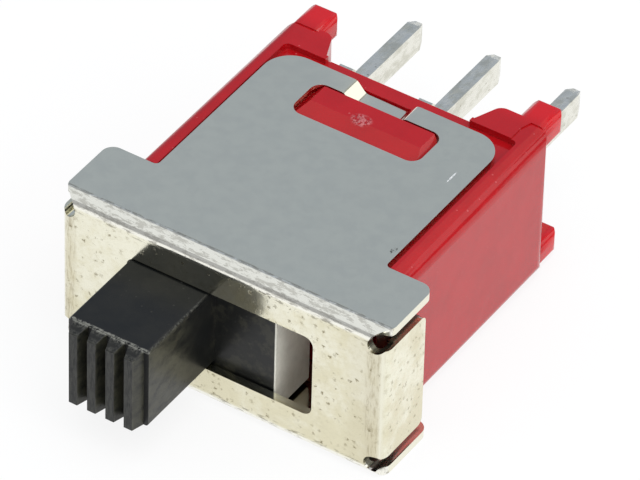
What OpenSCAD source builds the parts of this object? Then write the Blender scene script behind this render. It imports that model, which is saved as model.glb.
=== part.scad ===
// Sub-miniature slide switch with three pins, changing over between the centre pin and either end pin.
// X is the direction of slide, +Y points out along the pins, and +Z is up.
// The origin is the middle of the centre pin, in the plane of the feet, which is the circuit board's face.

/* [Frame] */
// Length of the front plate
frame_l = 10.16; // [8.6:0.02:12.4]
// Height of the front plate
frame_h = 5; // [4.2:0.1:6.2]
// Thickness of the folded sheet
sheet_t = 0.25; // [0.2:0.01:0.3]
// Outer radius of every fold
fold_r = 0.4; // [0.36:0.01:0.5]
// Overlap of the top and bottom flaps on the case
flap_lap = 0.39; // [0.2:0.01:0.8]
// Radius of the flaps' rear corners
flap_r = 0.35; // [0.1:0.05:0.5]
// Slit between a side flap and the top or bottom flap
side_slit = 0.39; // [0.34:0.01:0.6]
// Radius of the side flaps' rear corners
side_flap_r = 0.2; // [0.1:0.05:0.4]
// Radius of the relief hole at each corner of the front plate
relief_r = 0.25; // [0.15:0.01:0.28]

/* [Tongues] */
// Distance from the side of a tongue to the side of the case
tongue_inset = 0.66; // [0.4:0.01:0.9]
// Radius of a tongue's rear corners
tongue_r = 0.85; // [0.3:0.05:1]
// Radius of the inner corners at a tongue's root
root_r = 0.14; // [0.08:0.01:0.3]
// Distance from a tongue's end to the back of the case
tongue_setback = 1.31; // [1.1:0.01:1.8]
// Width of the latch slot
slot_w = 4; // [3:0.1:4.6]
// Length of the latch slot along the tongue
slot_l = 1.4; // [1.1:0.05:1.7]
// Radius of the latch slot's corners
slot_r = 0.35; // [0.1:0.05:0.5]
// Width of the strip behind the latch slot
strip_l = 0.65; // [0.5:0.01:0.8]
// Depth to which the strip is staked into the case
stake_depth = 0.33; // [0.15:0.01:0.4]
// Width of the flat part of the stake
stake_w = 1.2; // [0.8:0.05:1.6]
// Length of the ramp on each side of the stake
stake_ramp = 0.42; // [0.3:0.02:0.6]
// Place of the stake along the strip
stake_x = -0.2; // [-0.6:0.05:0.6]

/* [Case] */
// Distance from the side of the case to the end of the front plate
case_inset = 0.86; // [0.6:0.01:1]
// Length of the case from its front to its back face
case_len = 7.62; // [6.8:0.01:9.4]
// Drop from the outer face of a tongue to the case beside it
case_drop = 0.09; // [0.05:0.01:0.15]
// Radius of the case's long edges
case_r = 0.45; // [0.3:0.05:0.6]
// Radius of the case's rear corners, seen from above
case_corner_r = 0.55; // [0.3:0.05:0.7]
// Thickness of the case's side walls
side_wall = 0.62; // [0.5:0.01:0.8]
// Thickness of the case's top and bottom walls
top_wall = 0.91; // [0.83:0.01:1]
// Thickness of the case's base, which holds the terminals
base_t = 1.58; // [1.3:0.01:1.9]
// Length of the recess behind a tongue's end
recess_back = 0.35; // [0.2:0.01:0.5]
// Distance from the side of the case to the side of a foot
foot_inset = 0.17; // [0.1:0.01:0.25]
// Width of a foot
foot_w = 1; // [0.8:0.01:1.1]
// Height of a foot's section
foot_t = 0.78; // [0.65:0.01:0.85]
// Radius of a foot's long edges
foot_edge_r = 0.28; // [0.1:0.02:0.32]
// Rise of a foot above the case
foot_rise = 0.04; // [0.01:0.01:0.08]
// Length of a foot behind the back face
foot_l = 0.89; // [0.7:0.01:1.1]
// Radius of a foot's end corners, seen from above
foot_r = 0.38; // [0.1:0.02:0.4]
// Depth of the notches in the top and bottom of the base
notch_depth = 0.94; // [0.8:0.01:1]
// Length of the notches from the back face
notch_l = 0.81; // [0.7:0.01:0.95]
// Width of the notches at the back face
notch_w = 5.34; // [4.6:0.02:5.6]
// How far a notch's sides lean outwards for each millimetre of its length
notch_lean = 0.41; // [0.2:0.01:0.5]
// Place of the notches along the base
notch_x = -0.12; // [-0.2:0.01:0.2]
// Radius of the corners where the notches meet the back face
notch_r = 0.3; // [0.1:0.05:0.4]
// Length of the ramp on each latch
latch_ramp = 0.6; // [0.4:0.05:0.9]
// How far each end of a latch slopes in to its top
latch_end = 0.22; // [0.05:0.01:0.4]
// Depth of the sealing pan in the back face
pan_depth = 0.3; // [0.2:0.01:0.5]

/* [Slider] */
// Travel of the slider
travel = 3.15; // [2.6:0.05:3.8]
// Width of the knob
knob_w = 2.5; // [2:0.05:3]
// Height of the knob
knob_h = 2.56; // [2:0.02:3]
// Reach of the knob in front of the front plate
knob_reach = 2.76; // [1.5:0.02:5]
// Radius of the knob's long edges
knob_r = 0.1; // [0.08:0.01:0.15]
// Number of finger ribs
rib_count = 4; // [3:1:5]
// Spacing of the finger ribs
rib_pitch = 0.576; // [0.48:0.004:0.6]
// Depth of the finger ribs
rib_depth = 0.38; // [0.2:0.02:0.5]
// Width of a finger rib at its root
rib_root = 0.47; // [0.4:0.01:0.48]
// Width of a finger rib at its tip
rib_tip = 0.26; // [0.15:0.01:0.3]
// Thickness of the slider's block
block_t = 1.62; // [1.3:0.01:2]
// Width of the boss that holds the plunger
boss_w = 2.2; // [2.1:0.02:2.4]

/* [Mechanism] */
// Diameter of the plunger
plunger_d = 1.5; // [1.2:0.02:1.5]
// Length of the plunger
plunger_l = 2.6; // [2.2:0.05:3]
// Length of the plunger that shows outside the slider
plunger_out = 1.3; // [1.1:0.05:1.4]
// Diameter of the spring wire
wire_d = 0.16; // [0.1:0.01:0.2]
// Number of turns of the spring
spring_turns = 7; // [5:1:9]
// Thickness of the rocker
rocker_t = 0.35; // [0.25:0.01:0.4]
// Height of the rocker
rocker_h = 2; // [1.6:0.05:2.1]
// Bend of each arm of the rocker, in degrees
rocker_bend = 12; // [8:0.5:13]
// Diameter of a fixed contact
contact_d = 1.3; // [1:0.05:1.4]
// Height of a fixed contact on its terminal
contact_t = 0.4; // [0.3:0.01:0.5]
// Distance of a fixed contact inwards from its pin
contact_in = 0.39; // [0.3:0.01:0.5]

/* [Terminals] */
// Spacing of the pins
pitch = 2.54; // [2.1:0.01:3.05]
// Thickness of the terminal strip
strip_t = 0.42; // [0.35:0.01:0.5]
// Height of a pin
pin_h = 0.8; // [0.6:0.02:1]
// Length of a pin behind the feet
pin_l = 3.12; // [2.5:0.01:5]
// Length of a pin's tapered tip
tip_l = 0.26; // [0.1:0.02:0.5]
// How much each side of a tip tapers
tip_taper = 0.1; // [0.04:0.01:0.14]
// Reach of a terminal's shoulders past the back face
shoulder_out = 0.48; // [0.3:0.01:0.6]

/* [Clearances] */
// Between the tongues and the floors of their recesses
tongue_gap = 0.02; // [0.01:0.01:0.05]
// Between the tongues or flaps and the walls of their recesses
recess_gap = 0.1; // [0.05:0.01:0.15]
// Between the slider's block and what it slides between
slide_gap = 0.05; // [0.03:0.01:0.08]
// Between the slider's block and the top and bottom flaps
block_gap = 0.1; // [0.05:0.01:0.15]
// Between the slider and its stops at each end of its travel
stop_gap = 0.085; // [0.04:0.005:0.12]
// Between the knob and the top and bottom of the window
knob_gap = 0.05; // [0.03:0.01:0.1]
// Between the latch and its slot
latch_gap = 0.05; // [0.03:0.01:0.1]
// Between the boss and the walls of the case
boss_gap = 0.1; // [0.05:0.01:0.2]
// Around the plunger in its bore
bore_gap = 0.05; // [0.03:0.01:0.1]
// Between the plunger's tip and the rocker at each end of the travel
plunger_gap = 0.12; // [0.11:0.01:0.15]
// Between the rocker and a closed contact
contact_gap = 0.03; // [0.02:0.005:0.06]
// Around the fulcrum in the rocker's groove
pivot_gap = 0.05; // [0.03:0.01:0.08]
// Around a terminal in the base
slit_gap = 0.02; // [0.01:0.005:0.04]

/* [Hidden] */
$fn = 48;

// How far a cut runs past the face that it opens, and how far a joined shape reaches into the next
past = 1;
bite = 0.1;

// Places along Y, from the circuit board forwards
back_y = -foot_l;
floor_y = back_y - base_t;
case_y = back_y - case_len;
block_back_y = case_y - slide_gap;
block_front_y = block_back_y - block_t;
plate_in_y = block_front_y - slide_gap;
front_y = plate_in_y - sheet_t;
flap_end_y = case_y + flap_lap;
tongue_end_y = back_y - tongue_setback;
recess_end_y = tongue_end_y + recess_back;
slot_end_y = tongue_end_y - strip_l;
slot_y = slot_end_y - slot_l;
knob_y = front_y - knob_reach;

// Sizes of what fits inside the frame
in_h = frame_h - 2 * sheet_t;
in_l = frame_l - 2 * sheet_t;
side_flap_h = in_h - 2 * side_slit;
case_w = frame_l - 2 * case_inset;
case_h = frame_h - 2 * case_drop;
seat_z = in_h / 2 - tongue_gap;
cavity_w = case_w - 2 * side_wall;
cavity_h = case_h - 2 * top_wall;
cavity_r = 0.3;
tongue_w = case_w - 2 * tongue_inset;
window_w = knob_w + travel + 2 * stop_gap;
window_h = knob_h + 2 * knob_gap;
window_r = 0.28;
relief_x = frame_l / 2 - fold_r;
relief_shift = 0.12;
relief_drop = 0.03;
relief_l = fold_r + 0.2;

// Details of the case
recess_r = 0.15;
foot_root = 0.12;
foot_tip_r = 0.15;
foot_top_z = case_h / 2 + foot_rise;
land_w = 0.4;
land_ramp_l = 0.45;
land_ramp_w = 0.15;
latch_root = 0.2;
latch_step = 0.06;
latch_below = 0.01;
pocket_gap = 0.1;
pocket_under = 0.06;
pan_margin = 0.4;
pan_wall = 0.15;
pan_r = 0.2;
seal_gap = 0.01;

// The slider stands at the left end of its travel
slider_x = -travel / 2;
block_l = in_l - travel - 2 * stop_gap;
block_h = in_h - 2 * block_gap;
block_r = 0.15;
boss_h = cavity_h - 2 * boss_gap;
boss_r = 0.2;
rib_chamfer = 0.16;

// Terminals and fixed contacts
blade_inset = 0.3;
blade_h = cavity_h - 2 * blade_inset;
shoulder_y = back_y + shoulder_out;
shoulder_chamfer = 0.12;
flange_y = floor_y - strip_t;
bend_in_r = 0.1;
bend_r = strip_t + bend_in_r;
contact_x = pitch - contact_in;
contact_y = flange_y - contact_t;
contact_crown_r = 3;
shank_d = 0.7;
shank_gap = 0.01;
shank_end_gap = 0.02;
flange_rim = 0.1;

// The rocker leans on a fulcrum at the front edge of the common terminal
fulcrum_r = strip_t / 2;
apex_rise = 0.14;
arm_rise = apex_rise * cos(rocker_bend);
under_y = contact_y - contact_gap;
fulcrum_y = under_y + arm_rise;
arm_rim = 0.1;
arm_l = contact_x + contact_d / 2 + arm_rim;
waist_w = 0.9;
ear_gap = 0.05;
ear_l = 0.75;
ear_h = 0.4;
waist_h = blade_h - 2 * (ear_h + ear_gap);

// The plunger slides in the boss
plunger_y = under_y - rocker_t - plunger_gap;
boss_y = plunger_y - plunger_out;
bore_d = plunger_d + 2 * bore_gap;
bore_depth = 0.3;
bore_y = block_back_y - bore_depth;
cup_d = 1;
cup_floor = 0.6;
spring_side_gap = 0.05;
spring_r = (cup_d - wire_d) / 2 - spring_side_gap;
spring_gap = 0.02;
spring_steps = 16;

// Rectangle with four rounded corners, centred
module round_square(w, h, r) {
    square([w - 2 * r, h], center = true);
    square([w, h - 2 * r], center = true);
    for (x = [-1, 1], y = [-1, 1])
        translate([x * (w / 2 - r), y * (h / 2 - r)])
            circle(r);
}

// Tab from y0 to y1, centred on x = 0, with rounded corners at its y1 end
module tab(w, y0, y1, r) {
    end_y = y1 > y0 ? y1 - r : y1 + r;
    translate([-w / 2, min(y0, end_y)])
        square([w, abs(end_y - y0)]);
    translate([r - w / 2, min(y0, y1)])
        square([w - 2 * r, abs(y1 - y0)]);
    for (s = [-1, 1])
        translate([s * (w / 2 - r), end_y])
            circle(r);
}

// Extrudes an outline drawn in (z, y) along X, centred
module along_x(l) {
    rotate([0, -90, 0])
        linear_extrude(l, center = true)
            children();
}

// Extrudes an outline drawn in (x, z) along Y, from y0 to y1
module along_y(y0, y1) {
    translate([0, y1, 0])
        rotate([90, 0, 0])
            linear_extrude(y1 - y0)
                children();
}

// Turns a shape built on +Z to stand on +Y
module to_y() {
    rotate([-90, 0, 0])
        children();
}

// Keeps the shape and adds its mirror image below
module top_and_bottom() {
    children();
    mirror([0, 0, 1])
        children();
}

// Section of the sheet folded back at both ends, from the front plate to end_y
module channel(span, end_y) {
    difference() {
        tab(span, end_y, front_y, fold_r);
        tab(span - 2 * sheet_t, end_y + past, plate_in_y, fold_r - sheet_t);
    }
}

// Plan of a flap and its tongue, with small radii where the tongue leaves the flap
module flap_plan() {
    tab(frame_l, front_y, flap_end_y, flap_r);
    tab(tongue_w, front_y, tongue_end_y, tongue_r);
    for (s = [-1, 1])
        translate([s * (tongue_w / 2 + root_r / 2), flap_end_y + root_r / 2])
            difference() {
                square(root_r, center = true);
                translate([s * root_r / 2, root_r / 2])
                    circle(root_r);
            }
}

// Height of the staked strip's outer face at x, which eases down each ramp
function stake_z(x) =
    let (run = min(1, max(0, (stake_w / 2 + stake_ramp - abs(x)) / stake_ramp)))
    frame_h / 2 - stake_depth * (1 - cos(180 * run)) / 2;

// The pressed-down piece of the strip behind the latch slot
module stake() {
    half = stake_w / 2 + stake_ramp;
    steps = concat([half + bite], [for (i = [0:6]) half - stake_ramp * i / 6]);
    xs = concat([for (x = steps) -x], [for (i = [len(steps) - 1:-1:0]) steps[i]]);
    translate([stake_x, 0, 0])
        along_y(slot_end_y, tongue_end_y)
            polygon(concat(
                [for (x = xs) [x, stake_z(x)]],
                [for (i = [len(xs) - 1:-1:0]) [xs[i], stake_z(xs[i]) - sheet_t]]));
}

// Clears the slit and the round relief hole between a side flap and a top flap
module corner_relief() {
    relief_z = (side_flap_h + in_h) / 4 - relief_drop;
    for (s = [-1, 1])
        translate([s * (relief_x + relief_shift), front_y - past, relief_z])
            to_y()
                cylinder(h = past + relief_l, r = relief_r);
}

module frame() color("silver") {
    difference() {
        union() {
            difference() {
                intersection() {
                    along_x(frame_l)
                        channel(frame_h, tongue_end_y);
                    linear_extrude(frame_h + past, center = true)
                        flap_plan();
                }
                for (s = [-1, 1])
                    translate([s * (relief_x + past), front_y, 0])
                        cube([2 * past, 4 * fold_r, in_h], center = true);
            }
            intersection() {
                linear_extrude(side_flap_h, center = true)
                    channel(frame_l, case_y);
                along_x(frame_l)
                    tab(side_flap_h, front_y, case_y, side_flap_r);
            }
        }
        along_y(front_y - past, plate_in_y + past)
            round_square(window_w, window_h, window_r);
        translate([0, (slot_y + slot_end_y) / 2, 0])
            linear_extrude(frame_h + past, center = true)
                round_square(slot_w, slot_l, slot_r);
        translate([stake_x, (slot_end_y + tongue_end_y) / 2, 0])
            cube([stake_w + 2 * stake_ramp, strip_l + 0.01, frame_h + past], center = true);
        top_and_bottom()
            corner_relief();
    }
    top_and_bottom()
        stake();
}

// Foot on the top right of the base, rounded on all its free edges
module foot() {
    start_y = back_y - foot_root;
    translate([case_w / 2 - foot_inset - foot_w / 2, 0, foot_top_z - foot_t / 2])
        intersection() {
            along_y(start_y, 0)
                round_square(foot_w, foot_t, foot_edge_r);
            linear_extrude(foot_t, center = true)
                tab(foot_w, start_y, 0, foot_r);
            along_x(foot_w)
                tab(foot_t, start_y, 0, foot_tip_r);
        }
}

// Land between the top notch and the top right foot, level with the foot
module land() {
    outside = case_w / 2 - foot_inset - foot_w + land_w;
    translate([0, 0, foot_top_z - 2 * foot_rise])
        linear_extrude(2 * foot_rise)
            polygon([[0, recess_end_y], [outside, recess_end_y], [outside, back_y - land_ramp_l],
                     [outside + land_ramp_w, back_y], [0, back_y]]);
}

// Wedge that snaps into the latch slot, with its locking face at the rear
module latch() {
    root_z = seat_z - latch_root;
    low_z = seat_z + latch_step;
    top_z = frame_h / 2 - latch_below;
    half = slot_w / 2 - latch_gap;
    y0 = slot_y + latch_gap;
    y1 = slot_end_y - latch_gap;
    intersection() {
        along_x(slot_w)
            polygon([[root_z, y0], [low_z, y0], [top_z, y0 + latch_ramp], [top_z, y1], [root_z, y1]]);
        along_y(y0, y1)
            polygon([[-half, root_z], [half, root_z], [half, low_z], [half - latch_end, top_z],
                     [latch_end - half, top_z], [-half, low_z]]);
        translate([0, (y0 + y1) / 2, 0])
            linear_extrude(frame_h)
                round_square(2 * half, y1 - y0, slot_r - latch_gap);
    }
}

// One side of a notch's outline, from its front round the corner to the back face
function notch_side(s) =
    let (corner_x = notch_w / 2,
         sweep = 90 - atan(notch_lean),
         reach = notch_r / tan(90 - sweep / 2))
    concat([[s * (corner_x - notch_lean * notch_l), back_y - notch_l]],
           [for (i = [0:6])
               let (a = 90 + sweep * (1 - i / 6))
               [s * (corner_x + reach + notch_r * cos(a)), back_y - notch_r + notch_r * sin(a)]],
           [[s * (corner_x + reach), back_y + past]]);

// Notch in the top of the base, with sides that lean outwards to the rear
module notch() {
    left = notch_side(-1);
    translate([notch_x, 0, case_h / 2 - notch_depth])
        linear_extrude(notch_depth + past)
            polygon(concat(notch_side(1), [for (i = [len(left) - 1:-1:0]) left[i]]));
}

// Recess in the top of the case for the flap and its tongue, open to the notch behind it
module recess() {
    opening_w = notch_w - 2 * notch_lean * (back_y - recess_end_y);
    translate([0, 0, seat_z])
        linear_extrude(past) {
            tab(tongue_w + 2 * recess_gap, case_y - past, recess_end_y, recess_r);
            translate([-case_w, case_y - past])
                square([2 * case_w, flap_lap + recess_gap + past]);
            translate([notch_x - opening_w / 2, tongue_end_y])
                square([opening_w, tongue_setback - notch_l + bite]);
        }
}

// Pocket under the staked strip
module stake_pocket() {
    w = stake_w + 2 * (stake_ramp + pocket_gap);
    depth = stake_depth + pocket_under;
    translate([stake_x - w / 2, slot_end_y - latch_gap, seat_z - depth])
        cube([w, strip_l + 2 * latch_gap, depth + past]);
}

// Slit in the base for the terminal at x, with a mouth that clears the terminal's bend
module slit(x, gap) {
    mouth = bend_r - strip_t + gap;
    translate([x, 0, 0]) {
        along_y(floor_y - past, back_y + past)
            square([strip_t + 2 * gap, blade_h + 2 * gap], center = true);
        along_y(floor_y - past, floor_y + mouth)
            square([strip_t + 2 * (gap + mouth), blade_h + 2 * gap], center = true);
    }
}

// Outline of the sealing pan, a little smaller all round by gap
module pan_outline(gap) {
    pan_w = 2 * pitch + strip_t + 2 * pan_margin;
    pan_h = case_h - 2 * (notch_depth + pan_wall);
    round_square(pan_w - 2 * gap, pan_h - 2 * gap, pan_r);
}

module case() color("firebrick") {
    difference() {
        union() {
            intersection() {
                along_y(case_y, back_y)
                    round_square(case_w, case_h, case_r);
                linear_extrude(case_h + past, center = true)
                    tab(case_w, case_y, back_y, case_corner_r);
            }
            top_and_bottom()
                for (side = [0, 1])
                    mirror([side, 0, 0])
                        foot();
            land();
        }
        along_y(case_y - past, floor_y)
            round_square(cavity_w, cavity_h, cavity_r);
        top_and_bottom() {
            recess();
            notch();
            stake_pocket();
        }
        for (i = [-1:1])
            slit(i * pitch, slit_gap);
        along_y(back_y - pan_depth, back_y + past)
            pan_outline(0);
    }
    top_and_bottom()
        latch();
}

module terminal_seal() color("saddlebrown") {
    difference() {
        along_y(back_y - pan_depth + seal_gap, back_y)
            pan_outline(seal_gap);
        for (i = [-1:1])
            slit(i * pitch, seal_gap / 2);
    }
}

// Outline of a terminal's blade, shoulders and pin in (z, y), on one side of the middle
function blank_side(s, start_y) = [
    [s * blade_h / 2, start_y],
    [s * blade_h / 2, shoulder_y - shoulder_chamfer],
    [s * (blade_h / 2 - shoulder_chamfer), shoulder_y],
    [s * pin_h / 2, shoulder_y],
    [s * pin_h / 2, pin_l - tip_l],
    [s * (pin_h / 2 - tip_taper), pin_l]
];

// Flat blade that ends in a pin tapered on all four sides
module blade(start_y) {
    left = blank_side(-1, start_y);
    intersection() {
        along_x(strip_t)
            polygon(concat(blank_side(1, start_y), [for (i = [len(left) - 1:-1:0]) left[i]]));
        linear_extrude(blade_h + past, center = true)
            polygon([[-strip_t / 2, start_y], [strip_t / 2, start_y], [strip_t / 2, pin_l - tip_l],
                     [strip_t / 2 - tip_taper, pin_l], [tip_taper - strip_t / 2, pin_l],
                     [-strip_t / 2, pin_l - tip_l]]);
    }
}

// Plan of the flange, bent inwards from the blade on the right
module flange_plan() {
    outer_x = pitch + strip_t / 2;
    inner_x = contact_x - contact_d / 2 - flange_rim;
    difference() {
        translate([inner_x, flange_y])
            square([outer_x - inner_x, strip_t]);
        translate([outer_x - bend_r, flange_y])
            square([bend_r, bend_r]);
    }
    intersection() {
        translate([outer_x - bend_r, flange_y + bend_r])
            difference() {
                circle(bend_r);
                circle(bend_r - strip_t);
            }
        translate([outer_x - bend_r, flange_y])
            square([bend_r, bend_r]);
    }
}

module end_terminal() {
    difference() {
        union() {
            translate([pitch, 0, 0])
                blade(flange_y + bend_r);
            linear_extrude(blade_h, center = true)
                flange_plan();
        }
        translate([contact_x, flange_y - past, 0])
            to_y()
                cylinder(h = strip_t + 2 * past, d = shank_d + 2 * shank_gap);
    }
}

module terminal_right() color("gainsboro") end_terminal();

module terminal_left() color("gainsboro") mirror([1, 0, 0]) end_terminal();

module terminal_common() color("gainsboro") {
    blade(fulcrum_y);
    linear_extrude(waist_h, center = true)
        intersection() {
            translate([0, fulcrum_y])
                circle(fulcrum_r);
            translate([-fulcrum_r, fulcrum_y - fulcrum_r])
                square([2 * fulcrum_r, fulcrum_r + bite]);
        }
    top_and_bottom()
        translate([-strip_t / 2, fulcrum_y - ear_l, blade_h / 2 - ear_h])
            cube([strip_t, ear_l + bite, ear_h]);
}

// Rivet with a slightly crowned head, standing on +Y with its crown at the front
module contact_rivet() {
    translate([contact_x, contact_y, 0])
        to_y() {
            intersection() {
                cylinder(h = contact_t, d = contact_d);
                translate([0, 0, contact_crown_r])
                    sphere(contact_crown_r);
            }
            cylinder(h = contact_t + strip_t - shank_end_gap, d = shank_d);
        }
}

module contact_right() color("white") contact_rivet();

module contact_left() color("white") mirror([1, 0, 0]) contact_rivet();

// One side of the rocker's outline seen from above, from the apex of its underside to that of its top
function rocker_side(s) = [
    [0, -apex_rise],
    [s * arm_l * cos(rocker_bend), -apex_rise - arm_l * sin(rocker_bend)],
    [s * (arm_l * cos(rocker_bend) - rocker_t * sin(rocker_bend)),
     -apex_rise - arm_l * sin(rocker_bend) - rocker_t * cos(rocker_bend)],
    [0, -apex_rise - rocker_t / cos(rocker_bend)]
];

module rocker() color("goldenrod") {
    left = rocker_side(-1);
    translate([0, fulcrum_y, 0])
        rotate([0, 0, -rocker_bend])
            difference() {
                linear_extrude(rocker_h, center = true)
                    polygon(concat(rocker_side(1), [left[2], left[1]]));
                cylinder(h = rocker_h + past, r = fulcrum_r + pivot_gap, center = true);
                top_and_bottom()
                    translate([-waist_w / 2, -2 * rocker_t, waist_h / 2])
                        cube([waist_w, 3 * rocker_t, rocker_h]);
            }
}

module plunger() color("ivory") {
    r = plunger_d / 2;
    translate([slider_x, plunger_y - plunger_l, 0])
        to_y()
            difference() {
                union() {
                    cylinder(h = plunger_l - r, r = r);
                    translate([0, 0, plunger_l - r])
                        sphere(r);
                }
                translate([0, 0, -past])
                    cylinder(h = plunger_l - cup_floor + past, d = cup_d);
            }
}

// One ring of the spring's wire at turn t, as points about the coil
function wire_ring(t, sides, rise) = [
    for (k = [0:sides - 1])
        let (a = 360 * k / sides, r = spring_r + wire_d / 2 * cos(a))
        [r * cos(360 * t), r * sin(360 * t), rise * t + wire_d / 2 * sin(a)]
];

module plunger_spring() color("lightsteelblue") {
    sides = 8;
    steps = spring_steps * spring_turns;
    start_y = bore_y + wire_d / 2 + spring_gap;
    end_y = plunger_y - cup_floor - wire_d / 2 - spring_gap;
    rise = (end_y - start_y) / spring_turns;
    points = [for (i = [0:steps]) each wire_ring(i / spring_steps, sides, rise)];
    walls = [for (i = [0:steps - 1], k = [0:sides - 1])
        [i * sides + k, i * sides + (k + 1) % sides,
         (i + 1) * sides + (k + 1) % sides, (i + 1) * sides + k]];
    caps = [[for (k = [sides - 1:-1:0]) k], [for (k = [0:sides - 1]) steps * sides + k]];
    translate([slider_x, start_y, 0])
        to_y()
            polyhedron(points, concat(walls, caps));
}

// Trapezoid ribs across the front of the knob
module rib_plan() {
    for (i = [0:rib_count - 1])
        translate([(i - (rib_count - 1) / 2) * rib_pitch, knob_y])
            polygon([[-rib_root / 2, bite], [-rib_root / 2, 0], [-rib_tip / 2, -rib_depth],
                     [rib_tip / 2, -rib_depth], [rib_root / 2, 0], [rib_root / 2, bite]]);
}

module slider() color("dimgray") translate([slider_x, 0, 0]) difference() {
    union() {
        along_y(block_front_y, block_back_y)
            round_square(block_l, block_h, block_r);
        along_y(knob_y, block_front_y + bite)
            round_square(knob_w, knob_h, knob_r);
        translate([0, 0, -knob_h / 2])
            linear_extrude(knob_h - rib_chamfer)
                rib_plan();
        along_y(block_back_y - bite, boss_y)
            round_square(boss_w, boss_h, boss_r);
    }
    translate([0, bore_y, 0])
        to_y()
            cylinder(h = boss_y - bore_y + past, d = bore_d);
}

frame();
case();
slider();
plunger();
plunger_spring();
rocker();
terminal_common();
terminal_left();
terminal_right();
contact_left();
contact_right();
terminal_seal();
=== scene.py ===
import math

import bmesh
import bpy
from mathutils import Matrix, Vector


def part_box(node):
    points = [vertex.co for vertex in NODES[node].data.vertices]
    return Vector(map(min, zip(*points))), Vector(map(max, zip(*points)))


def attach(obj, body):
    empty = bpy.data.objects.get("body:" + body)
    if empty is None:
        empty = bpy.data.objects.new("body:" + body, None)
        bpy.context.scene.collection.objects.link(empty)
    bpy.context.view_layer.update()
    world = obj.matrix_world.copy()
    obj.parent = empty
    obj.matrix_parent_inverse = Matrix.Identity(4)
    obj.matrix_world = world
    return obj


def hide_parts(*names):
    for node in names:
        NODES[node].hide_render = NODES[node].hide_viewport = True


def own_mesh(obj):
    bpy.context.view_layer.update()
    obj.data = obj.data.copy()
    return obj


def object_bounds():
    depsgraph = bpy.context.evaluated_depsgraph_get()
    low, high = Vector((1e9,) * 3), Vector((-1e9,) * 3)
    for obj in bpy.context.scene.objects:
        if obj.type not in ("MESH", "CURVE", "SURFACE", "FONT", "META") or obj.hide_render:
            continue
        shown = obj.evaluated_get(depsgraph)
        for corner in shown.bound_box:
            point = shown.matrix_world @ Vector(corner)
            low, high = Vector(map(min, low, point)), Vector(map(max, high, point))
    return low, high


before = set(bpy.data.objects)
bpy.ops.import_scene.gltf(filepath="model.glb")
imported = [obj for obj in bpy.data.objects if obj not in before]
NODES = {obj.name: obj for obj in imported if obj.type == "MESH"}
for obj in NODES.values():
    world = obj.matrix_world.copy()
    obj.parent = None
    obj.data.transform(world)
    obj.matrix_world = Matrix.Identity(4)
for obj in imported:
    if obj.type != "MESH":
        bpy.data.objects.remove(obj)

cad_box = [list(corner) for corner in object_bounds()]
MM = 0.001
low, high = (Vector(corner) for corner in cad_box)
centre = (low + high) / 2

# The camera looks down on the knob's side from far away, at these angles in degrees
AZIMUTH, ELEVATION, ROLL = 32.25, 40.68, 1.61
DISTANCE = 189.5 * MM
LENS = 402.3
AIM_OFFSET = Vector((-0.086, -0.287, -0.229)) * MM

# Places on the object, in millimetres, for the marks that belong to one spot
frame_low, frame_high = (Vector(corner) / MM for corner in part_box("frame"))
case_low, case_high = (Vector(corner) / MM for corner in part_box("case"))
slider_low, slider_high = (Vector(corner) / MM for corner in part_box("slider"))
slider_middle = (slider_low.x + slider_high.x) / 2
FRONT_Y = frame_low.y
TOP_Z = frame_high.z
SIDE_X = frame_high.x

# Sizes from the CAD source, in millimetres
FOLD_R = 0.4
KNOB_H = 2.56
RIBS = 4
RIB_PITCH = 0.576
RIB_DEPTH = 0.38
RIB_ROOT = 0.47
RIB_TIP = 0.26

# Sizes of the shapes made here, in millimetres
RIB_DROP = 0.16
RIB_SINK = 0.02
RIB_ROOT_GAP = 0.012
RIB_FRONT_RISE = 0.004
RIB_EDGE = 0.018
CUT_START = -0.14
CUT_DEPTH = 0.5
LOWER_RIGHT_CUT_DEPTH = 0.2
CUT_INNER_R = 0.06
CUT_OUTER_R = FOLD_R + 0.1
CUT_PAST_SIDE = 0.3
CUT_CLEARANCE = 0.001
CUT_TURN = math.radians(96)
CUT_STEPS = 28
EDGE_WIDTHS = {"frame": 0.05, "case": 0.08, "slider": 0.03}
OTHER_EDGE_WIDTH = 0.02
EDGE_WELD = 0.00001
SHEET_WELD = 0.00002
EDGE_ANGLE = math.radians(35)
SMOOTH_ANGLE = math.radians(30)
FLOOR_GAP = 0.01

LAMP_DISTANCE = 0.45
FLOOR_SIZE = 4
FLOOR_GLOW = 0.85
WHITE = (1, 1, 1)


def direction(azimuth, elevation):
    """Unit vector towards azimuth, from the front to the right, and elevation, in degrees."""
    a, e = math.radians(azimuth), math.radians(elevation)
    return Vector((math.sin(a) * math.cos(e), -math.cos(a) * math.cos(e), math.sin(e)))


def facing(away):
    """Turn that points a camera or lamp back against the direction it stands in."""
    return away.to_track_quat("Z", "Y").to_matrix().to_4x4()


def add_object(name, data):
    obj = bpy.data.objects.new(name, data)
    bpy.context.scene.collection.objects.link(obj)
    return obj


def add_mesh(name, bm):
    """Object made of a bmesh, which is freed."""
    mesh = bpy.data.meshes.new(name)
    bm.to_mesh(mesh)
    bm.free()
    return add_object(name, mesh)


def add_camera():
    """Camera at the viewing angle, aimed just beside the object's centre."""
    data = bpy.data.cameras.new("camera")
    data.lens = LENS
    data.sensor_width = 36
    data.clip_start = 1 * MM
    data.clip_end = 10
    camera = add_object("camera", data)
    away = direction(AZIMUTH, ELEVATION)
    turn = facing(away) @ Matrix.Rotation(math.radians(ROLL), 4, "Z")
    camera.matrix_world = Matrix.Translation(centre + AIM_OFFSET + away * DISTANCE) @ turn
    bpy.context.scene.camera = camera


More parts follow.
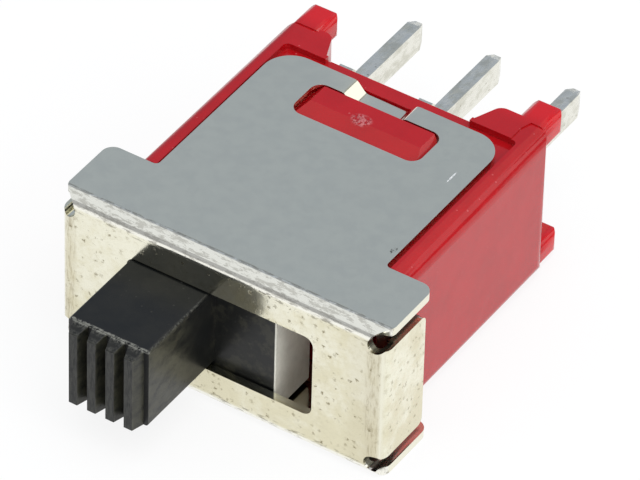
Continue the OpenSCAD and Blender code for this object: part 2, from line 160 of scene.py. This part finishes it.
def add_lamp(name, azimuth, elevation, size, power, mirrored=True):
    """Soft square lamp that faces the object, and shows in its reflections if mirrored."""
    data = bpy.data.lights.new(name, "AREA")
    data.shape = "SQUARE"
    data.size = size
    data.energy = power
    lamp = add_object(name, data)
    lamp.visible_glossy = mirrored
    away = direction(azimuth, elevation)
    lamp.matrix_world = Matrix.Translation(centre + away * LAMP_DISTANCE) @ facing(away)


class Graph:
    """A material's node tree, with short calls for the nodes used here."""

    def __init__(self, name):
        self.material = bpy.data.materials.new(name)
        self.material.use_nodes = True
        self.tree = self.material.node_tree
        self.shader = self.tree.nodes["Principled BSDF"]
        coordinates = self.node("ShaderNodeTexCoord").outputs["Object"]
        self.place = self.math("MULTIPLY", coordinates, 1 / MM, vector=True)

    def node(self, kind, **settings):
        node = self.tree.nodes.new(kind)
        for key, value in settings.items():
            setattr(node, key, value)
        return node

    def put(self, socket, value):
        """Links an output to a socket, or sets the socket to a number, vector or colour."""
        if isinstance(value, bpy.types.NodeSocket):
            self.tree.links.new(value, socket)
        elif isinstance(value, (tuple, list)) and len(socket.default_value) == 4:
            socket.default_value = (*value, 1)
        else:
            socket.default_value = value

    def math(self, operation, a, b=0.0, vector=False):
        if vector:
            node = self.node("ShaderNodeVectorMath", operation=operation)
            b = (b, b, b) if isinstance(b, (int, float)) else b
        else:
            node = self.node("ShaderNodeMath", operation=operation)
        self.put(node.inputs[0], a)
        self.put(node.inputs[1], b)
        return node.outputs[0]

    def stretch(self, scale, shift=(0, 0, 0)):
        """Object place in millimetres, scaled and shifted along each axis."""
        node = self.node("ShaderNodeVectorMath", operation="MULTIPLY_ADD")
        for socket, value in zip(node.inputs, (self.place, scale, shift)):
            self.put(socket, value)
        return node.outputs[0]

    def noise(self, scale, detail=2.0, rough=0.5, stretch=(1, 1, 1), shift=(0, 0, 0)):
        """Noise with scale features per millimetre."""
        place = self.stretch([scale * s for s in stretch], shift)
        return self.noise_node(place, 1, detail, rough).outputs["Fac"]

    def noise_node(self, place, scale, detail, rough):
        node = self.node("ShaderNodeTexNoise")
        self.put(node.inputs["Vector"], place)
        node.inputs["Scale"].default_value = scale
        node.inputs["Detail"].default_value = detail
        node.inputs["Roughness"].default_value = rough
        return node

    def cells(self, scale, shift=(0, 0, 0), warp=0.0):
        """Distance to the nearest of scattered points, warped out of round, and a random value for that point."""
        place = self.stretch([scale] * 3, shift)
        if warp:
            wobble = self.noise_node(place, 3, 4, 0.7).outputs["Color"]
            wobble = self.math("MULTIPLY", wobble, warp, vector=True)
            place = self.math("ADD", place, wobble, vector=True)
        node = self.node("ShaderNodeTexVoronoi")
        self.put(node.inputs["Vector"], place)
        node.inputs["Scale"].default_value = 1
        pick = self.node("ShaderNodeSeparateColor")
        self.put(pick.inputs[0], node.outputs["Color"])
        return node.outputs["Distance"], pick.outputs[0]

    def ramp(self, value, start, end, low_value=0.0, high_value=1.0):
        """Smooth step from low_value at start to high_value at end."""
        node = self.node("ShaderNodeMapRange", interpolation_type="SMOOTHSTEP")
        for socket, number in zip(node.inputs, (value, start, end, low_value, high_value)):
            self.put(socket, number)
        return node.outputs[0]

    def mix(self, factor, a, b):
        node = self.node("ShaderNodeMix", data_type="RGBA")
        self.put(node.inputs[0], factor)
        self.put(node.inputs[6], a)
        self.put(node.inputs[7], b)
        return node.outputs[2]

    def tint(self, colour, mask, strength, added):
        """Colour with another blended in where the mask is, at the given strength."""
        return self.mix(self.math("MULTIPLY", mask, strength), colour, added)

    def plus(self, value, mask, amount):
        """Value raised by the given amount where the mask is."""
        return self.math("ADD", value, self.math("MULTIPLY", mask, amount))

    def part(self, vector, index):
        node = self.node("ShaderNodeSeparateXYZ")
        self.put(node.inputs[0], vector)
        return node.outputs[index]

    def axis(self, index):
        """Place along one axis, in millimetres."""
        return self.part(self.place, index)

    def squareness(self, index):
        """How squarely the surface faces along one axis, from 0 to 1."""
        normal = self.node("ShaderNodeNewGeometry").outputs["Normal"]
        return self.math("ABSOLUTE", self.part(normal, index))

    def near(self, spot, size):
        """1 at a spot, falling to 0 at an ellipsoid of the given half sizes."""
        offset = self.stretch([1 / s for s in size], [-p / s for p, s in zip(spot, size)])
        node = self.node("ShaderNodeVectorMath", operation="LENGTH")
        self.put(node.inputs[0], offset)
        return self.ramp(node.outputs["Value"], 1, 0.6)

    def join(self, operation, masks):
        value = masks[0]
        for mask in masks[1:]:
            value = self.math(operation, value, mask)
        return value

    def both(self, *masks):
        return self.join("MULTIPLY", masks)

    def either(self, *masks):
        return self.join("MAXIMUM", masks)

    def bump(self, height, depth, normal=None):
        """Bump of the given depth in millimetres, on top of another."""
        node = self.node("ShaderNodeBump")
        node.inputs["Strength"].default_value = 1
        node.inputs["Distance"].default_value = depth * MM
        self.put(node.inputs["Height"], height)
        if normal is not None:
            self.put(node.inputs["Normal"], normal)
        return node.outputs[0]

    def finish(self, colour, rough, normal=None, metal=0.0):
        self.put(self.shader.inputs["Base Color"], colour)
        self.put(self.shader.inputs["Roughness"], rough)
        self.shader.inputs["Metallic"].default_value = metal
        if normal is not None:
            self.put(self.shader.inputs["Normal"], normal)
        return self.material


def fold_depth_mask(g, y, side, height):
    """0 near the sheet's outer face, and 1 from a tenth of a millimetre below it, at the folds."""
    across = g.math("MAXIMUM", g.math("SUBTRACT", side, SIDE_X - FOLD_R), 0)
    above = g.math("MAXIMUM", g.math("SUBTRACT", height, TOP_Z - FOLD_R), 0)
    ahead = g.math("MAXIMUM", g.math("SUBTRACT", FRONT_Y + FOLD_R, y), 0)
    widest = g.math("MAXIMUM", across, above)
    squares = g.math("ADD", g.math("MULTIPLY", widest, widest), g.math("MULTIPLY", ahead, ahead))
    return g.ramp(g.math("SQRT", squares), FOLD_R - 0.05, FOLD_R - 0.10)


def tin_plate():
    """Bright tin-plated steel: soft waves, small brown pits, faint tarnish, and folds scraped by the press."""
    tin, flap_tin, fold_tin = (0.862, 0.842, 0.700), (0.905, 0.892, 0.735), (0.955, 0.945, 0.885)
    tarnish_tan, grain_tan, mottle_tan = (0.735, 0.69, 0.495), (0.60, 0.56, 0.41), (0.66, 0.62, 0.45)
    fold_tan, streak_brown, cloud_grey = (0.60, 0.55, 0.40), (0.42, 0.37, 0.25), (0.70, 0.69, 0.60)
    pit_brown, scrape_grey = (0.24, 0.20, 0.11), (0.16, 0.14, 0.10)
    nick_black, inside_shade_olive = (0.09, 0.08, 0.06), (0.12, 0.115, 0.08)

    # Masks: front plate, side flaps, top and bottom folds, upright folds, and the insides of the right corners,
    # which get painted shade
    g = Graph("tin_plate")
    x, y, z = g.axis(0), g.axis(1), g.axis(2)
    side, height = g.math("ABSOLUTE", x), g.math("ABSOLUTE", z)
    between = g.ramp(height, TOP_Z - 0.3, TOP_Z - 0.42)
    face = g.both(g.ramp(y, FRONT_Y + 0.12, FRONT_Y + 0.04), between)
    flap = g.both(g.ramp(side, SIDE_X - 0.12, SIDE_X - 0.04), between)
    upright = g.either(face, flap)
    fold = g.both(g.ramp(y, FRONT_Y + 0.44, FRONT_Y + 0.38), g.ramp(height, TOP_Z - 0.36, TOP_Z - 0.3))
    corner = g.both(g.ramp(side, SIDE_X - 0.62, SIDE_X - 0.42), g.ramp(side, SIDE_X - 0.02, SIDE_X - 0.16),
                    g.ramp(y, FRONT_Y + 0.3, FRONT_Y + 0.2))
    right = g.ramp(x, -1, 1)
    lining = g.both(g.ramp(y, FRONT_Y + 0.22, FRONT_Y + 0.27), g.ramp(y, case_low.y + 0.2, case_low.y),
                    g.ramp(height, TOP_Z - 0.22, TOP_Z - 0.27), g.ramp(side, SIDE_X - 1.1, SIDE_X - 0.8),
                    g.ramp(side, SIDE_X - 0.08, SIDE_X - 0.16), g.ramp(height, 1.3, 1.7), right)
    walls = g.both(fold_depth_mask(g, y, side, height), g.ramp(side, SIDE_X - 0.72, SIDE_X - 0.62),
                   g.ramp(height, TOP_Z - 0.85, TOP_Z - 0.75), g.ramp(y, FRONT_Y + 0.55, FRONT_Y + 0.45), right)
    # Painted shade: the sheet's insides and fold walls at the right corners, darkened towards olive
    inside_shade = g.either(lining, walls)

    # Tarnish in faint patches, more of it low on the plate and beside the upright folds
    colour = g.mix(flap, tin, flap_tin)
    patches = g.noise(1.1, 5, 0.62, shift=(3, 1, 7))
    spread = g.math("ADD", g.ramp(z, 0.3, -2.5, 0, 0.19), g.ramp(x, -2.5, 4, 0, 0.06))
    tarnish = g.both(upright, g.ramp(g.math("ADD", patches, spread), 0.44, 0.74))
    colour = g.tint(colour, tarnish, 0.85, tarnish_tan)
    grain = g.noise(9, 4, 0.7, stretch=(0.5, 1, 1), shift=(1, 5, 2))
    colour = g.tint(colour, upright, g.ramp(grain, 0.52, 0.72, 0, 0.22), grain_tan)
    mottle = g.noise(5.5, 4, 0.72, shift=(8, 1, 4))
    colour = g.tint(colour, upright, g.ramp(mottle, 0.47, 0.74, 0, 0.42), mottle_tan)
    beside = g.both(face, g.ramp(side, SIDE_X - 1.35, SIDE_X - 0.75), g.ramp(x, -6, 3))
    colour = g.tint(colour, beside, 0.30, fold_tan)
    streaks = g.ramp(g.noise(10, 5, 0.75, stretch=(1.5, 1.5, 0.2)), 0.46, 0.62)
    colour = g.tint(colour, g.both(corner, upright), 0.30, fold_tan)
    colour = g.tint(colour, g.both(corner, upright, streaks), 0.62, streak_brown)
    clouds = g.ramp(g.noise(2.3, 4, 0.6, shift=(6, 6, 0)), 0.35, 0.68)
    colour = g.tint(colour, g.both(g.ramp(height, TOP_Z - 0.03, TOP_Z - 0.01), clouds), 0.26, cloud_grey)

    # Pits, small and ragged, fewer on the side flaps, and wider faint stains
    ragged = g.noise(19, 3, 0.65)
    fine, fine_pick = g.cells(4.8, shift=(2, 3, 1), warp=0.9)
    wide, wide_pick = g.cells(1.9, shift=(5, 2, 8), warp=0.9)
    pits = g.both(g.ramp(g.plus(fine, ragged, 0.6), 0.64, 0.38), g.ramp(fine_pick, 0.22, 1.0))
    stains = g.both(g.ramp(g.plus(wide, ragged, 0.6), 0.52, 0.36), g.ramp(wide_pick, 0.55, 0.75))
    pitted = g.both(upright, g.either(pits, g.math("MULTIPLY", stains, 0.4)))
    strength = g.math("SUBTRACT", 0.85, g.math("MULTIPLY", flap, 0.35))
    colour = g.tint(colour, pitted, strength, pit_brown)

    # The press leaves a thin dark line where the fold starts and short dashes low on it
    dashes = g.noise(10, 4, 0.72, stretch=(0.3, 1, 1), shift=(4, 4, 1))
    thick = g.noise(0.7, 2, 0.5, shift=(9, 0, 3))
    start = g.both(g.ramp(y, FRONT_Y + 0.46, FRONT_Y + 0.42), g.ramp(y, FRONT_Y + 0.32, FRONT_Y + 0.37),
                   g.ramp(height, TOP_Z - 0.1, TOP_Z - 0.05), g.ramp(dashes, 0.38, 0.56))
    low_fold = g.both(g.ramp(height, TOP_Z - 0.24, TOP_Z - 0.29), g.ramp(height, TOP_Z - 0.48, TOP_Z - 0.40),
                      g.ramp(y, FRONT_Y + 0.08, FRONT_Y + 0.05), g.ramp(dashes, 0.50, 0.62))
    dashed = g.both(fold, g.ramp(g.plus(dashes, thick, 0.2), 0.59, 0.70))
    scraped = g.either(g.math("MULTIPLY", dashed, 0.36), g.math("MULTIPLY", start, 0.6),
                       g.math("MULTIPLY", low_fold, 0.6))
    colour = g.tint(colour, fold, 0.75, fold_tin)
    colour = g.mix(scraped, colour, scrape_grey)

    # A scratch and a nick on the tongue, and painted shade on the insides
    scratch = g.both(g.near((3.06, -4.155, TOP_Z), (0.03, 0.30, 0.2)), g.ramp(g.noise(20, 2), 0.38, 0.46))
    colour = g.mix(scratch, colour, WHITE)
    nick = g.both(g.near((3.40, -7.47, TOP_Z), (0.09, 0.2, 0.2)), g.ramp(g.noise(13, 3, 0.7), 0.50, 0.58))
    colour = g.tint(colour, nick, 0.85, nick_black)
    colour = g.tint(colour, inside_shade, 0.85, inside_shade_olive)

    rough = g.plus(0.10, g.noise(2.4, 4, 0.6), 0.07)
    rough = g.plus(rough, g.either(pitted, scraped, inside_shade), 0.25)
    rough = g.plus(rough, scratch, 0.6)
    waves = g.bump(g.noise(1.6, 2, 0.5), 0.005)
    skin = g.bump(g.noise(16, 4, 0.65, stretch=(0.5, 1, 1)), 0.0005, waves)
    drawn = g.bump(g.math("MULTIPLY", dashes, fold), 0.004, skin)
    return g.finish(colour, rough, g.bump(g.math("ADD", pitted, scraped), -0.0018, drawn), metal=1.0)


def tin_pin():
    """Dipped terminal strip: thin and thick tin in patches, with small runs along the pin."""
    thick_tin, thin_tin, mark_brown = (0.84, 0.83, 0.75), (0.66, 0.65, 0.56), (0.34, 0.31, 0.24)
    g = Graph("tin_pin")
    patches = g.noise(2.6, 5, 0.65, stretch=(1, 0.55, 1))
    colour = g.mix(g.ramp(patches, 0.42, 0.62), thick_tin, thin_tin)
    spots, pick = g.cells(5)
    marks = g.both(g.ramp(g.plus(spots, g.noise(18, 3, 0.65), 0.5), 0.5, 0.36), g.ramp(pick, 0.5, 1.0))
    colour = g.tint(colour, marks, 0.6, mark_brown)
    rough = g.plus(0.16, patches, 0.22)
    lumps = g.bump(g.noise(3.2, 3, 0.6, stretch=(1, 0.4, 1)), 0.028)
    return g.finish(colour, rough, g.bump(g.noise(22, 3, 0.6, stretch=(1, 0.3, 1)), 0.0015, lumps), metal=1.0)


def red_moulding():
    """Hard glossy red moulding: fine grain, flow lines, dust, an ejector's mark, a rear painted lighter as painted
    light, and painted shade on the front.
    """
    red, dark_red, rear_lit_red = (0.430, 0.0038, 0.0076), (0.385, 0.0032, 0.0064), (0.57, 0.0058, 0.0106)
    grain_red, dust_pink, mark_pink = (0.56, 0.018, 0.024), (0.62, 0.19, 0.20), (0.66, 0.24, 0.25)
    crack_black, front_shade_brown = (0.03, 0.002, 0.003), (0.030, 0.018, 0.010)
    g = Graph("red_moulding")
    y = g.axis(1)
    colour = g.mix(g.ramp(g.noise(0.9, 4, 0.6), 0.35, 0.7), red, dark_red)
    # Painted light: the rear, with the feet, is painted a lighter red
    colour = g.mix(g.ramp(y, case_high.y - 1.25, case_high.y - 0.5), colour, rear_lit_red)
    grain = g.noise(24, 3, 0.7)
    colour = g.mix(g.ramp(grain, 0.58, 0.74, 0, 0.3), colour, grain_red)

    # Dust lies mostly on what faces up or down
    specks, pick = g.cells(5.2, shift=(7, 3, 5))
    dust = g.both(g.ramp(specks, 0.19, 0.11), g.ramp(pick, 0.86, 0.92), g.ramp(g.squareness(2), 0.4, 0.8, 0.12, 1))
    colour = g.tint(colour, dust, 0.3, dust_pink)
    patch = g.both(g.near((-0.17, -3.52, 2.45), (0.36, 0.26, 0.5)), g.ramp(g.noise(11, 4, 0.75), 0.46, 0.56))
    colour = g.tint(colour, patch, 0.6, mark_pink)
    crack = g.both(g.near((3.50, -7.62, 2.40), (0.13, 0.34, 0.3)), g.ramp(g.noise(11, 3, 0.7), 0.45, 0.53))
    colour = g.mix(crack, colour, crack_black)
    # Painted shade: the front face, behind the frame's plate, is darkened to brown
    colour = g.tint(colour, g.ramp(y, case_low.y + 0.16, case_low.y + 0.02), 0.85, front_shade_brown)

    rough = g.plus(0.09, g.noise(5, 4, 0.6), 0.06)
    rough = g.plus(rough, g.either(patch, dust), 0.3)
    g.shader.inputs["Specular IOR Level"].default_value = 0.48
    flow = g.bump(g.noise(1.5, 3, 0.55, stretch=(0.3, 1, 1)), 0.008)
    skin = g.bump(grain, 0.0008, flow)
    return g.finish(colour, rough, g.bump(patch, 0.010, skin))


def black_nylon():
    """Black nylon: fine grain, a painted olive sheen on the knob's sides, paler torn edges, painted highlights on
    the ribs' crests, and matt ends on the block painted pale as painted light.
    """
    black, warm_black = (0.0060, 0.0068, 0.0070), (0.0110, 0.0113, 0.0100)
    side_sheen_olive, smear_olive = (0.046, 0.045, 0.031), (0.034, 0.033, 0.023)
    dust_grey, wear_and_highlight_grey, burr_grey = (0.11, 0.11, 0.095), (0.13, 0.13, 0.112), (0.30, 0.30, 0.27)
    end_lit_pale, end_lit_dull = (0.95, 0.93, 0.83), (0.86, 0.84, 0.74)
    g = Graph("black_nylon")
    x, y, z = g.axis(0), g.axis(1), g.axis(2)
    across = g.math("ABSOLUTE", g.math("SUBTRACT", x, slider_middle))
    half = (slider_high.x - slider_low.x) / 2
    colour = g.mix(g.ramp(g.noise(1.3, 4, 0.6), 0.35, 0.7), black, warm_black)
    # Painted sheen: the knob's sides facing along x are lifted to olive in patches
    side_sheen = g.both(g.ramp(g.squareness(0), 0.5, 0.9), g.ramp(g.noise(3.2, 5, 0.7, stretch=(1, 0.6, 1)), 0.30, 0.62),
                  g.ramp(y, FRONT_Y - 0.4, FRONT_Y - 1.6))
    colour = g.tint(colour, side_sheen, 0.9, side_sheen_olive)
    smear = g.both(g.ramp(y, FRONT_Y, FRONT_Y + 0.2), g.ramp(g.noise(1.9, 4, 0.65, shift=(2, 0, 5)), 0.50, 0.66))
    colour = g.tint(colour, smear, 0.8, smear_olive)
    specks, pick = g.cells(6, shift=(1, 8, 3))
    dust = g.both(g.ramp(specks, 0.20, 0.10), g.ramp(pick, 0.84, 0.95))
    colour = g.tint(colour, dust, 0.3, dust_grey)

    # Painted highlights on the ribs' crests, and wear on their upper rims and slopes and on the knob's upper edges
    torn = g.noise(13, 4, 0.75)
    brushed = g.noise(15, 4, 0.7, stretch=(1, 1, 0.22))
    crest_highlight = g.both(g.ramp(y, slider_low.y + 0.07, slider_low.y + 0.01), g.ramp(brushed, 0.34, 0.68))
    lip = g.both(g.ramp(y, slider_low.y + 0.47, slider_low.y + 0.43), g.ramp(z, 1.19, 1.25),
                 g.ramp(torn, 0.46, 0.58))
    slope = g.both(g.ramp(y, slider_low.y + 0.16, slider_low.y + 0.06), g.ramp(z, 1.04, 1.10),
                   g.ramp(torn, 0.44, 0.56))
    edge = g.both(g.ramp(y, FRONT_Y - 0.2, FRONT_Y - 0.6), g.ramp(z, 1.21, 1.25), g.ramp(across, 1.17, 1.21),
                  g.ramp(torn, 0.48, 0.60))
    wear_and_crest_highlight = g.either(g.math("MULTIPLY", crest_highlight, 0.5), lip, g.math("MULTIPLY", slope, 0.5), edge)
    colour = g.tint(colour, wear_and_crest_highlight, 0.6, wear_and_highlight_grey)
    burr = g.both(g.ramp(y, slider_low.y + 0.46, slider_low.y + 0.42),
                  g.ramp(y, slider_low.y + 0.30, slider_low.y + 0.36), g.ramp(z, 1.19, 1.24),
                  g.ramp(torn, 0.42, 0.50))
    colour = g.tint(colour, burr, 0.6, burr_grey)
    # Painted light: the block's ends are painted nearly white
    end = g.ramp(across, half - 0.06, half - 0.03)
    colour = g.mix(end, colour, g.mix(g.ramp(g.noise(4, 4, 0.7), 0.35, 0.7), end_lit_pale, end_lit_dull))

    rough = g.plus(0.24, g.noise(4, 4, 0.65), 0.14)
    rough = g.plus(rough, g.either(wear_and_crest_highlight, end, dust), 0.4)
    g.shader.inputs["Specular IOR Level"].default_value = 0.32
    waves = g.bump(g.noise(1.8, 3, 0.55), 0.007)
    skin = g.bump(g.noise(26, 3, 0.65), 0.0014, waves)
    return g.finish(colour, rough, g.bump(g.math("MULTIPLY", wear_and_crest_highlight, torn), 0.010, skin))


def contact_metal(name, bright, dull, base_rough):
    """Plated or drawn metal with faint lines, small stains and a soft grain."""
    g = Graph(name)
    lines = g.noise(5, 4, 0.7, stretch=(0.2, 0.2, 3))
    stains = g.noise(2.2, 4, 0.65, shift=(4, 4, 4))
    colour = g.mix(g.ramp(lines, 0.4, 0.65, 0, 0.5), bright, dull)
    colour = g.mix(g.ramp(stains, 0.56, 0.72, 0, 0.7), colour, dull)
    rough = g.plus(base_rough, stains, 0.16)
    return g.finish(colour, rough, g.bump(g.math("ADD", lines, g.noise(20, 3, 0.6)), 0.002), metal=1.0)


def ivory_acetal():
    """Cream acetal: faintly clouded, with a fine moulded grain and small specks."""
    ivory, dull_ivory, speck_brown = (0.74, 0.69, 0.56), (0.66, 0.60, 0.46), (0.30, 0.25, 0.16)
    g = Graph("ivory_acetal")
    specks, pick = g.cells(7)
    marks = g.both(g.ramp(specks, 0.22, 0.12), g.ramp(pick, 0.84, 0.88))
    colour = g.mix(g.ramp(g.noise(1.6, 3, 0.6), 0.35, 0.7), ivory, dull_ivory)
    colour = g.tint(colour, marks, 0.5, speck_brown)
    rough = g.plus(0.34, g.noise(6, 3, 0.6), 0.14)
    return g.finish(colour, rough, g.bump(g.noise(24, 3, 0.6), 0.0015))


def brown_epoxy():
    """Poured brown epoxy: a wavy skin with small burst bubbles."""
    brown, dark_brown, bubble_black = (0.150, 0.052, 0.020), (0.090, 0.030, 0.012), (0.035, 0.012, 0.006)
    g = Graph("brown_epoxy")
    bubbles, pick = g.cells(3.4)
    burst = g.both(g.ramp(bubbles, 0.3, 0.16), g.ramp(pick, 0.66, 0.72))
    colour = g.mix(g.ramp(g.noise(1.4, 4, 0.6), 0.35, 0.7), brown, dark_brown)
    colour = g.tint(colour, burst, 0.6, bubble_black)
    rough = g.plus(0.16, g.noise(3, 3, 0.6), 0.16)
    waves = g.bump(g.noise(1.2, 3, 0.5), 0.03)
    return g.finish(colour, rough, g.bump(burst, -0.03, waves))


def use(material, *pieces):
    """Gives the material to the named CAD nodes, or to pieces made here."""
    for piece in pieces:
        slots = (NODES[piece] if isinstance(piece, str) else piece).data.materials
        slots.clear()
        slots.append(material)


def soften_edges(obj, width):
    """Rounds a piece's sharp edges a little, as stamping, moulding and plating do."""
    weld = obj.modifiers.new("weld", "WELD")
    weld.merge_threshold = EDGE_WELD * MM
    bevel = obj.modifiers.new("bevel", "BEVEL")
    bevel.width = width * MM
    bevel.segments = 3
    bevel.limit_method = "ANGLE"
    bevel.angle_limit = EDGE_ANGLE
    bevel.harden_normals = True
    bevel.use_clamp_overlap = True


def flap_end_cutters():
    """Solids that cut the four flap ends back in a curve where they fold, square to the sheet."""
    axis_y, axis_z = FRONT_Y + FOLD_R, TOP_Z - FOLD_R
    end = FOLD_R * CUT_TURN
    outer_x = SIDE_X + CUT_PAST_SIDE
    bm = bmesh.new()
    for side in (-1, 1):
        for up in (-1, 1):
            depth = LOWER_RIGHT_CUT_DEPTH if side > 0 > up else CUT_DEPTH
            rings = []
            for i in range(CUT_STEPS + 1):
                along = CUT_START + (end - CUT_START) * i / CUT_STEPS
                share = (along - CUT_START) / (FOLD_R * math.pi / 2 - CUT_START)
                inner_x = SIDE_X - depth * math.sin(math.pi / 2 * min(1, share)) ** 2 + CUT_CLEARANCE
                turn = max(0, along / FOLD_R)
                flat = max(0, -along)
                ring = []
                for x, r in ((inner_x, CUT_INNER_R), (inner_x, CUT_OUTER_R), (outer_x, CUT_OUTER_R),
                             (outer_x, CUT_INNER_R)):
                    place = (side * x, axis_y + flat - r * math.sin(turn), up * (axis_z + r * math.cos(turn)))
                    ring.append(bm.verts.new(Vector(place) * MM))
                rings.append(ring)
            for a, b in zip(rings, rings[1:]):
                for k in range(4):
                    bm.faces.new((a[k], a[(k + 1) % 4], b[(k + 1) % 4], b[k]))
            bm.faces.new(rings[0])
            bm.faces.new(rings[-1])
    bmesh.ops.recalc_face_normals(bm, faces=bm.faces)
    return add_mesh("flap_end_cutters", bm)


def add_rib_tops():
    """Slopes on top of the finger ribs, from the knob's top down to each rib's front."""
    root_y, tip_y = slider_low.y + RIB_DEPTH, slider_low.y
    top_z = KNOB_H / 2
    lower_z = top_z - RIB_DROP
    root_z, front_z = top_z - RIB_ROOT_GAP, lower_z + RIB_FRONT_RISE
    heights = (root_z, front_z, front_z, root_z)
    bm = bmesh.new()
    for i in range(RIBS):
        x = slider_middle + (i - (RIBS - 1) / 2) * RIB_PITCH
        plan = ((x - RIB_ROOT / 2, root_y), (x - RIB_TIP / 2, tip_y),
                (x + RIB_TIP / 2, tip_y), (x + RIB_ROOT / 2, root_y))
        low_ring = [bm.verts.new(Vector((px, py, lower_z - RIB_SINK)) * MM) for px, py in plan]
        high_ring = [bm.verts.new(Vector((px, py, pz)) * MM) for (px, py), pz in zip(plan, heights)]
        bm.faces.new(low_ring)
        bm.faces.new(high_ring)
        for k in range(4):
            bm.faces.new((low_ring[k], low_ring[(k + 1) % 4], high_ring[(k + 1) % 4], high_ring[k]))
    bmesh.ops.recalc_face_normals(bm, faces=bm.faces)
    bmesh.ops.bevel(bm, geom=bm.edges[:], offset=RIB_EDGE * MM, segments=2, affect="EDGES", profile=0.5)
    piece = add_mesh("rib_tops", bm)
    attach(piece, "slide")
    return piece


def add_spring():
    """The plunger's spring, a copy of the CAD node shown in its place."""
    piece = add_object("coil_spring", NODES["plunger_spring"].data.copy())
    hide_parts("plunger_spring")
    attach(piece, "slide")
    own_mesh(piece)
    return piece


def add_frame_sheet():
    """The frame's sheet with its flap ends cut back at the folds, in place of the CAD node."""
    bm = bmesh.new()
    bm.from_mesh(NODES["frame"].data)
    bmesh.ops.remove_doubles(bm, verts=bm.verts, dist=SHEET_WELD * MM)
    piece = add_mesh("frame_sheet", bm)
    for name in ("custom_normal", "sharp_edge", "sharp_face"):
        if name in piece.data.attributes:
            piece.data.attributes.remove(piece.data.attributes[name])
    cutters = flap_end_cutters()
    cut = piece.modifiers.new("cut", "BOOLEAN")
    cut.operation = "DIFFERENCE"
    cut.solver = "EXACT"
    cut.object = cutters
    view = bpy.context.evaluated_depsgraph_get()
    piece.data = bpy.data.meshes.new_from_object(piece.evaluated_get(view), depsgraph=view)
    piece.modifiers.remove(cut)
    bpy.data.objects.remove(cutters)
    piece.data.name = "frame_sheet"
    piece.data.shade_smooth()
    piece.data.set_sharp_from_angle(angle=SMOOTH_ANGLE)
    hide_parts("frame")
    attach(piece, "housing")
    return piece


def dome():
    """World of one plain grey room: bright overhead, grey on the left and bluer behind, darker to the right."""
    left_front, left_rear = (0.42, 0.425, 0.44), (0.385, 0.435, 0.525)
    right, overhead = (0.24, 0.245, 0.25), (0.80, 0.82, 0.84)
    world = bpy.data.worlds.new("dome")
    bpy.context.scene.world = world
    world.use_nodes = True
    tree = world.node_tree
    coords = tree.nodes.new("ShaderNodeTexCoord").outputs["Generated"]

    def part(weights, start, end):
        """Smooth step of a weighted sum of the direction's x, y and z."""
        dot = tree.nodes.new("ShaderNodeVectorMath")
        dot.operation = "DOT_PRODUCT"
        tree.links.new(coords, dot.inputs[0])
        dot.inputs[1].default_value = weights
        step = tree.nodes.new("ShaderNodeMapRange")
        step.interpolation_type = "SMOOTHSTEP"
        step.inputs["From Min"].default_value = start
        step.inputs["From Max"].default_value = end
        tree.links.new(dot.outputs["Value"], step.inputs["Value"])
        return step.outputs[0]

    def blend(factor, low_colour, high_colour):
        mix = tree.nodes.new("ShaderNodeMix")
        mix.data_type = "RGBA"
        tree.links.new(factor, mix.inputs[0])
        for socket, value in ((mix.inputs[6], low_colour), (mix.inputs[7], high_colour)):
            if isinstance(value, tuple):
                socket.default_value = (*value, 1)
            else:
                tree.links.new(value, socket)
        return mix.outputs[2]

    left = blend(part((0, 1, 0), -0.35, 0.25), left_front, left_rear)
    walls = blend(part((1, 0, 0), -0.25, 0.25), left, right)
    room = blend(part((0, -0.232, 1), 0.56, 0.70), walls, overhead)
    tree.links.new(room, tree.nodes["Background"].inputs["Color"])


def add_floor():
    """White floor that keeps the object's shadow, and shows as white to the camera and in reflections."""
    bpy.ops.mesh.primitive_plane_add(size=FLOOR_SIZE, location=(centre.x, centre.y, low.z - FLOOR_GAP * MM))
    floor = bpy.context.object
    floor.name = "floor"
    g = Graph("floor")
    g.finish((0.97, 0.97, 0.97), 0.9)
    path = g.node("ShaderNodeLightPath")
    seen = g.either(*(path.outputs[f"Is {kind} Ray"] for kind in ("Camera", "Glossy", "Transmission")))
    glow = g.node("ShaderNodeEmission")
    glow.inputs["Color"].default_value = (*WHITE, 1)
    blend = g.node("ShaderNodeMixShader")
    g.put(blend.inputs[0], g.math("MULTIPLY", seen, FLOOR_GLOW))
    g.put(blend.inputs[1], g.shader.outputs[0])
    g.put(blend.inputs[2], glow.outputs[0])
    g.put(g.tree.nodes["Material Output"].inputs["Surface"], blend.outputs[0])
    floor.data.materials.append(g.material)


bpy.context.scene.view_settings.view_transform = "Standard"
add_camera()
dome()
add_floor()
add_lamp("top_lamp", 60, 72, 0.36, 0.75)
add_lamp("right_lamp", 75, 28, 0.3, 0.7, mirrored=False)
add_lamp("back_lamp", 135, 30, 0.3, 0.28)

frame_sheet = add_frame_sheet()
use(tin_plate(), "frame", frame_sheet)
use(red_moulding(), "case")
use(black_nylon(), "slider", add_rib_tops())
use(tin_pin(), "terminal_common", "terminal_left", "terminal_right")
silver_alloy = contact_metal("silver_alloy", (0.90, 0.87, 0.80), (0.62, 0.57, 0.46), 0.22)
use(silver_alloy, "contact_left", "contact_right")
use(contact_metal("plated_bronze", (0.82, 0.72, 0.50), (0.56, 0.43, 0.26), 0.24), "rocker")
spring_steel = contact_metal("spring_steel", (0.58, 0.58, 0.60), (0.36, 0.36, 0.38), 0.26)
use(spring_steel, "plunger_spring", add_spring())
use(ivory_acetal(), "plunger")
use(brown_epoxy(), "terminal_seal")

for node in NODES:
    if node != "plunger_spring":
        soften_edges(NODES[node], EDGE_WIDTHS.get(node, OTHER_EDGE_WIDTH))
soften_edges(frame_sheet, EDGE_WIDTHS["frame"])
